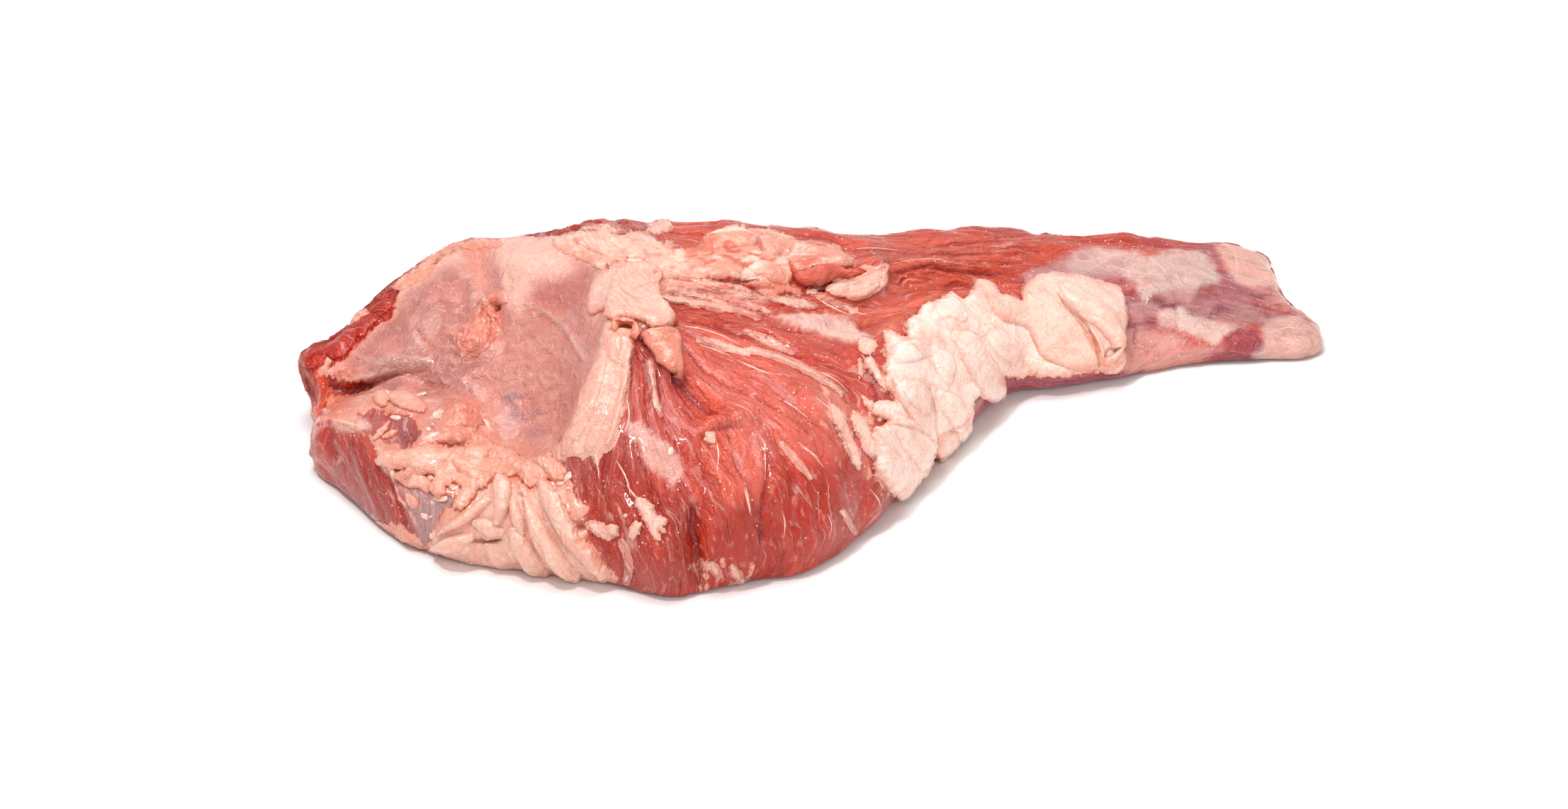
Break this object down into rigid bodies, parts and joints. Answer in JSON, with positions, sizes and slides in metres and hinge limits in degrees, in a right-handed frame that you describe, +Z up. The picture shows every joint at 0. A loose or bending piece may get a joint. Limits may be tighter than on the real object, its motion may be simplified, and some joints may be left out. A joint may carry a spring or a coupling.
{
  "type": "raw beef tri-tip",
  "caption": "Raw beef roast in one boneless piece: a thick lean lobe with a ridge of fat and a ragged fat cover, drawn out to a thin flat tail.",
  "frame": {"origin": "on the table, under the middle of the piece's bounding box", "axes": "+X from the thick end to the thin tail, +Y from the front of the pictured side to the back, +Z up"},
  "size_m": [0.3396, 0.2242, 0.0665],
  "materials": {
    "raw_beef": "raw beef, dull red lean with cream and pink fat, moist and a little glossy"
  },
  "bodies": {
    "root": {"beef_tri_tip": "raw_beef"}
  },
  "joints": []
}
